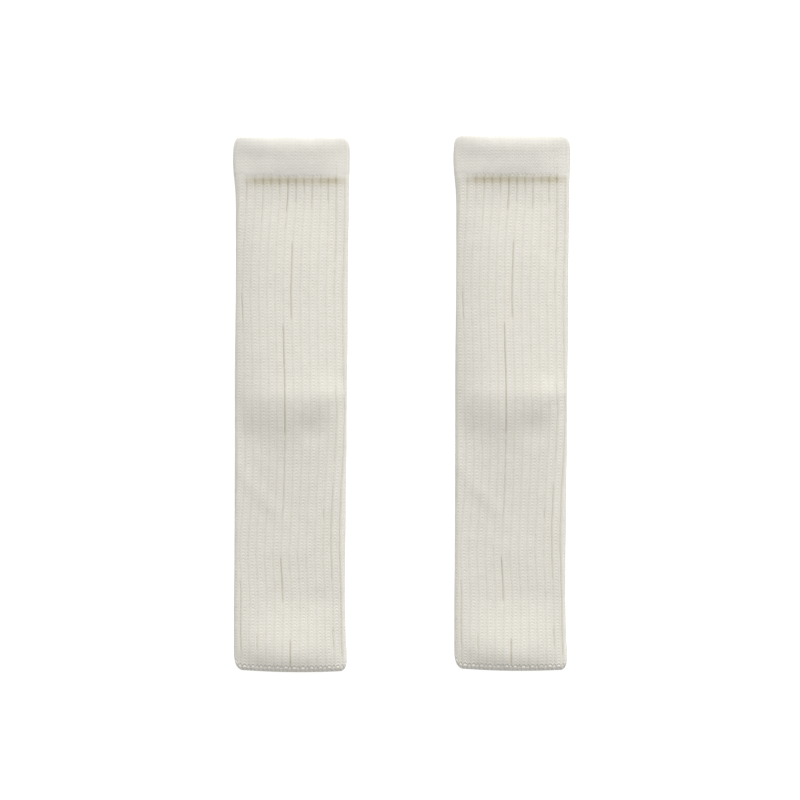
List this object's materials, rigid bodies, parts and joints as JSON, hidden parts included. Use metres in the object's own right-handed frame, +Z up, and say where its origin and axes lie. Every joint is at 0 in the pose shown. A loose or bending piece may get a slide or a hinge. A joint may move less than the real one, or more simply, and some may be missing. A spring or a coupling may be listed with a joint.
{
  "type": "pair of leg warmers",
  "caption": "Pair of off-white ribbed knitted leg warmers laid flat side by side, open tubes with a doubled plain band at the top and a bound-off edge at the bottom.",
  "frame": {"origin": "middle of the pair, on the surface that it lies on", "axes": "+X from the left leg to the right one as seen from above, +Y along the legs towards the doubled top bands, +Z up from the surface"},
  "size_m": [0.3034, 0.483, 0.0162],
  "materials": {
    "ribbed_knit": "soft off-white rib knit of a matt, slightly fuzzy two-ply yarn",
    "plain_knit": "soft off-white plain knit, folded double",
    "bound_edge": "soft off-white bound-off chain of the same yarn"
  },
  "bodies": {
    "root": {"left_tube": "ribbed_knit", "right_tube": "ribbed_knit", "left_top_band": "plain_knit", "right_top_band": "plain_knit", "left_bottom_edge": "bound_edge", "right_bottom_edge": "bound_edge"}
  },
  "joints": []
}
